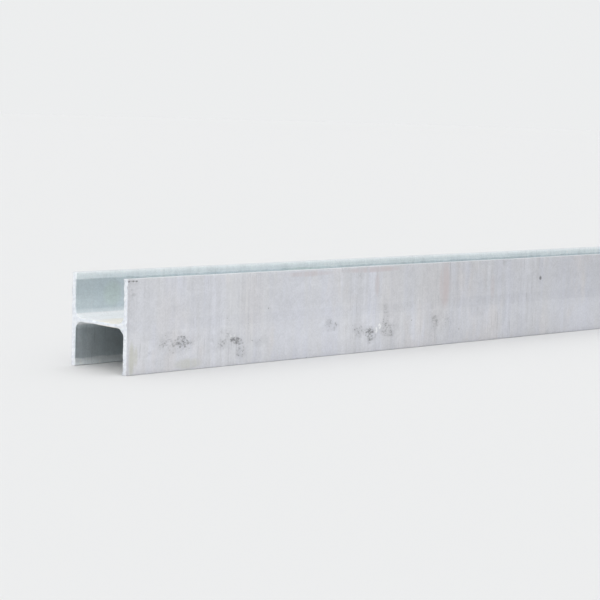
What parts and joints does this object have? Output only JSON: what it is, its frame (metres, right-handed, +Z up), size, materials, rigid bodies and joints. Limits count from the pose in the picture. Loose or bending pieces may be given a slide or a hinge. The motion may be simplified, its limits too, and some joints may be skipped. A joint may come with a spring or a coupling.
{
  "type": "wide-flange steel beam",
  "caption": "Rolled wide-flange steel I-beam with a hot-dip galvanised finish, cut to stock length, lying with its web level on its flange toes.",
  "frame": {"origin": "bottom centre of the bounding box: below the middle of the beam, at the level of the flange toes it lies on", "axes": "+X along the beam, +Y across it from one flange to the other, +Z up, square to the web"},
  "size_m": [6, 0.114, 0.12],
  "materials": {
    "galvanised_steel": "hot-dip galvanised, matt pale grey zinc"
  },
  "bodies": {
    "root": {"beam": "galvanised_steel"}
  },
  "joints": []
}
